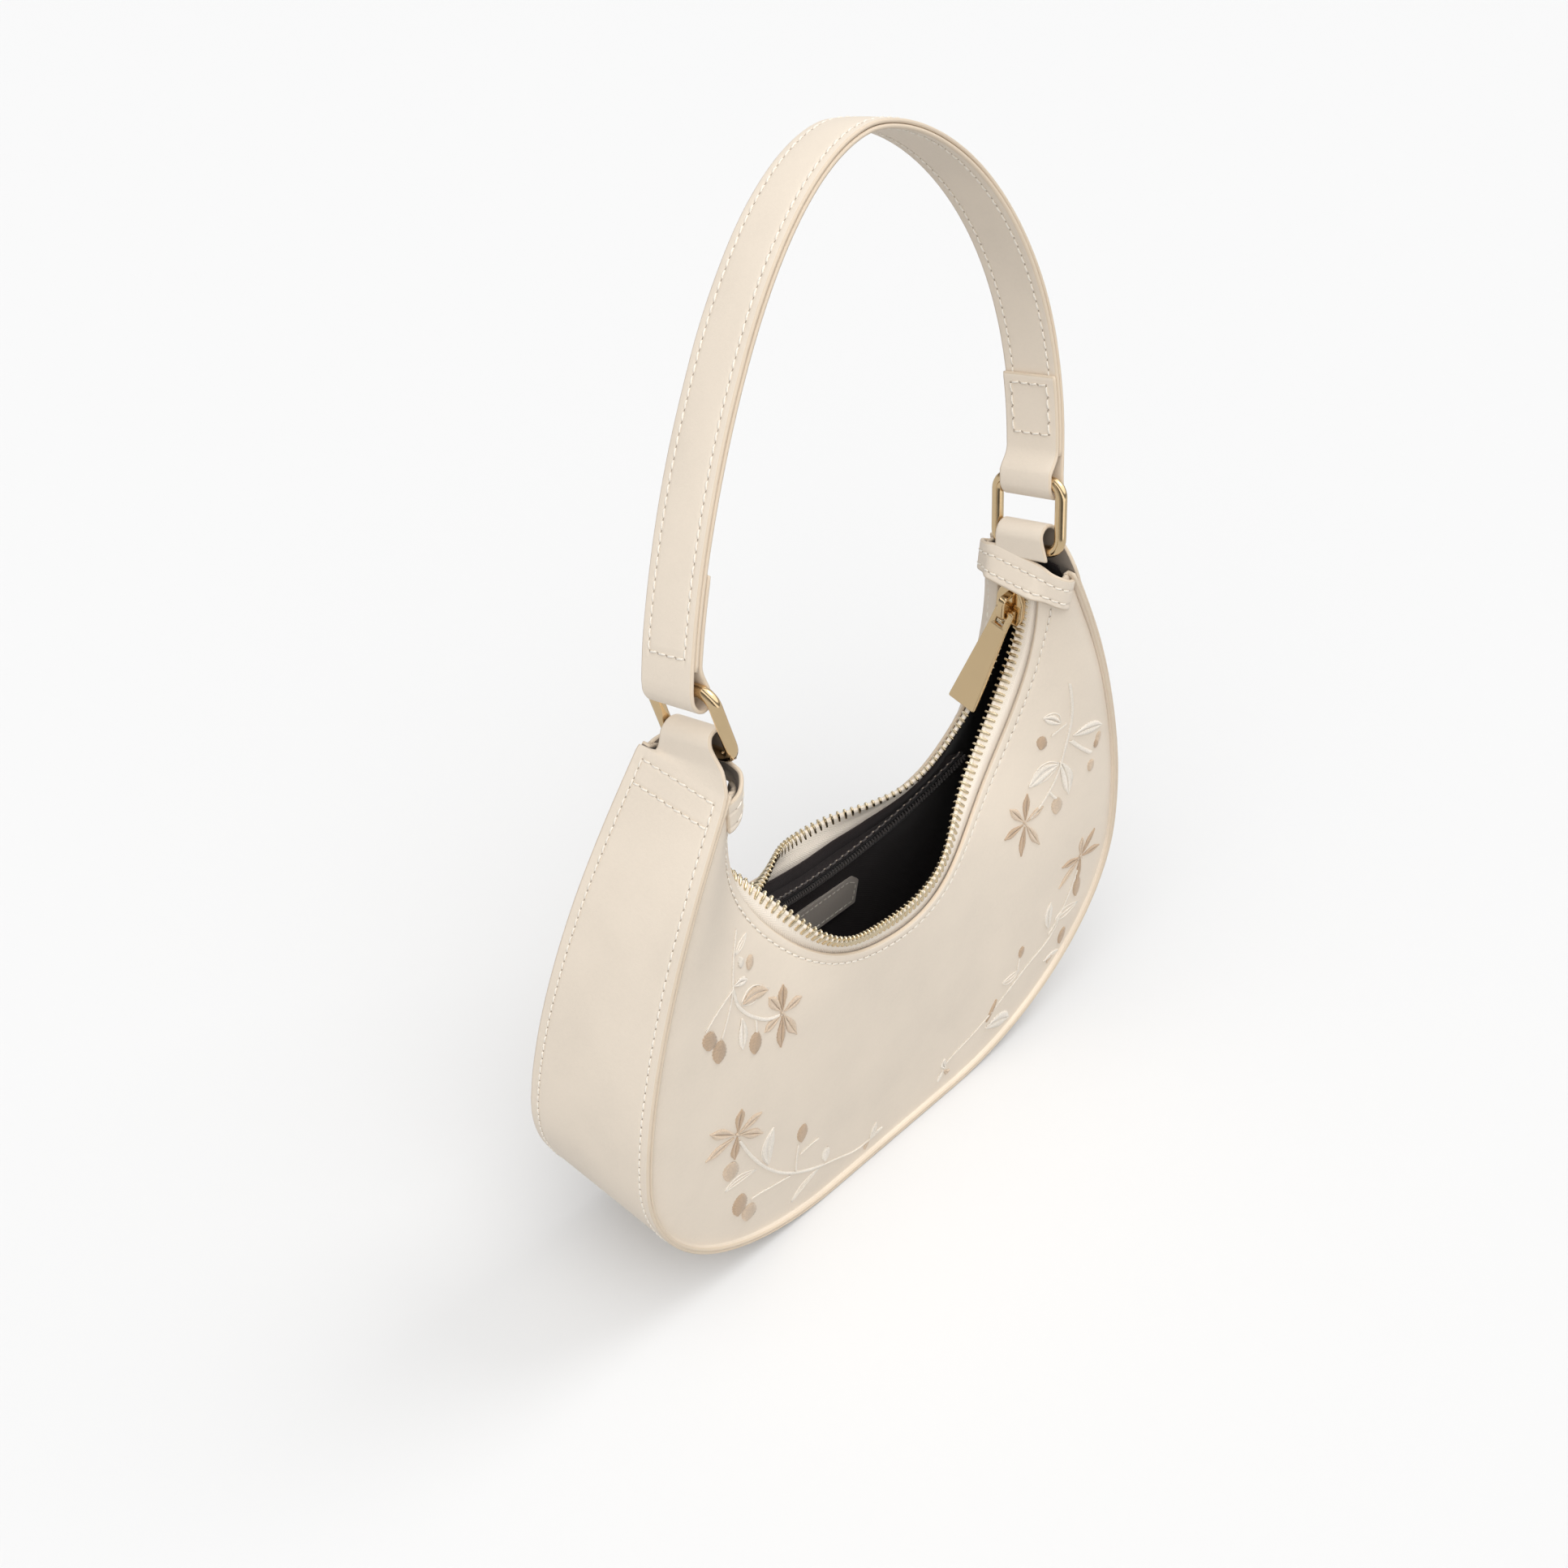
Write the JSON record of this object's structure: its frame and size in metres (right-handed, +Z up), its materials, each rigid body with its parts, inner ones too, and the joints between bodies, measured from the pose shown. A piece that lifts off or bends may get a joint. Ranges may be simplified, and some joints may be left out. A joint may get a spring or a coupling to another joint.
{
  "type": "top handle bag",
  "caption": "Small structured top handle bag with a curved zipped mouth, side gusset, arched strap handle on rectangular rings and an inner zipped pocket.",
  "frame": {"origin": "on the ground under the middle of the bag, halfway between its front and back", "axes": "+Z up, +X to the right seen from the front (towards the closed end of the zip), +Y to the back"},
  "size_m": [0.25, 0.0781, 0.3606],
  "materials": {
    "cream_leather": "cream nubuck leather with painted edges",
    "black_lining": "black woven lining",
    "fibre_board": "leather fibre board, sealed inside",
    "cream_tape": "cream herringbone zip tape",
    "black_coil": "black zip tape and nylon coil",
    "gold_metal": "polished pale gold plate",
    "pale_gold_teeth": "polished pale gold zip teeth and stops",
    "black_metal": "black enamelled metal",
    "label_leather": "grey-beige leather patch"
  },
  "bodies": {
    "bag": {"back_lining": "black_lining", "back_panel": "cream_leather", "back_stiffener": "fibre_board", "back_zip_tape": "cream_tape", "back_zip_teeth": "pale_gold_teeth", "base_board": "fibre_board", "front_lining": "black_lining", "front_panel": "cream_leather", "front_stiffener": "fibre_board", "front_zip_tape": "cream_tape", "front_zip_teeth": "pale_gold_teeth", "gusset": "cream_leather", "gusset_lining": "black_lining", "label_patch": "label_leather", "left_flap": "cream_leather", "pocket_pouch": "black_lining", "pocket_zip_coil": "black_coil", "pocket_zip_tape": "black_coil", "right_flap": "cream_leather", "zip_bottom_stop": "pale_gold_teeth", "zip_top_stop_back": "pale_gold_teeth", "zip_top_stop_front": "pale_gold_teeth"},
    "left_tab": {"left_tongue": "cream_leather"},
    "right_tab": {"right_tongue": "cream_leather"},
    "left_ring": {"left_ring": "gold_metal"},
    "right_ring": {"right_ring": "gold_metal"},
    "handle": {"handle_facing": "cream_leather", "handle_backing": "cream_leather"},
    "zip_slider": {"zip_slider": "gold_metal"},
    "zip_pull": {"zip_pull": "gold_metal"},
    "pocket_slider": {"pocket_zip_slider": "black_metal"},
    "pocket_pull": {"pocket_zip_pull": "black_metal"}
  },
  "joints": [
    {"name": "left_tab_tilt", "type": "hinge", "parent": "bag", "child": "left_tab", "pos_m": [-0.0777, 0, 0.20967], "axis": [1, 0, 0], "range_deg": [-10, 25]},
    {"name": "right_tab_tilt", "type": "hinge", "parent": "bag", "child": "right_tab", "pos_m": [0.0777, 0, 0.20967], "axis": [1, 0, 0], "range_deg": [-10, 25]},
    {"name": "left_ring_swing", "type": "hinge", "parent": "left_tab", "child": "left_ring", "pos_m": [-0.0767, -0.0015, 0.21175], "axis": [0, 0.9636, -0.2672], "range_deg": [-15, 15]},
    {"name": "right_ring_swing", "type": "hinge", "parent": "right_tab", "child": "right_ring", "pos_m": [0.0767, -0.0015, 0.21175], "axis": [0, 0.9636, -0.2672], "range_deg": [-15, 15]},
    {"name": "handle_swing", "type": "hinge", "parent": "left_ring", "child": "handle", "pos_m": [-0.08109, 0.00453, 0.23351], "axis": [0, 0.9636, -0.2672], "range_deg": [-14.5, 14.5]},
    {"name": "zip_slider_travel", "type": "hinge", "parent": "bag", "child": "zip_slider", "pos_m": [0, 0, 0.185], "axis": [0, 1, 0], "range_deg": [0, 188.9], "deforming": ["front_zip_teeth", "back_zip_teeth", "front_zip_tape", "back_zip_tape"]},
    {"name": "zip_pull_swing", "type": "hinge", "parent": "zip_slider", "child": "zip_pull", "pos_m": [0.07046, 0, 0.1885], "axis": [0.0407, 0.9903, 0.1331], "range_deg": [0, 105]},
    {"name": "pocket_slider_travel", "type": "hinge", "parent": "bag", "child": "pocket_slider", "pos_m": [0, -0.01574, 0.185], "axis": [0, -0.9338, -0.3578], "range_deg": [0, 80]},
    {"name": "pocket_pull_swing", "type": "hinge", "parent": "pocket_slider", "child": "pocket_pull", "pos_m": [-0.05587, 0.00349, 0.11886], "axis": [-0.6428, 0.2741, -0.7153], "range_deg": [0, 90]}
  ],
  "couplings": [
    {"joint": "right_tab_tilt", "follows": "left_tab_tilt", "ratio": 1},
    {"joint": "right_ring_swing", "follows": "left_ring_swing", "ratio": 1},
    {"joint": "handle_swing", "follows": "left_ring_swing", "ratio": -0.946}
  ]
}
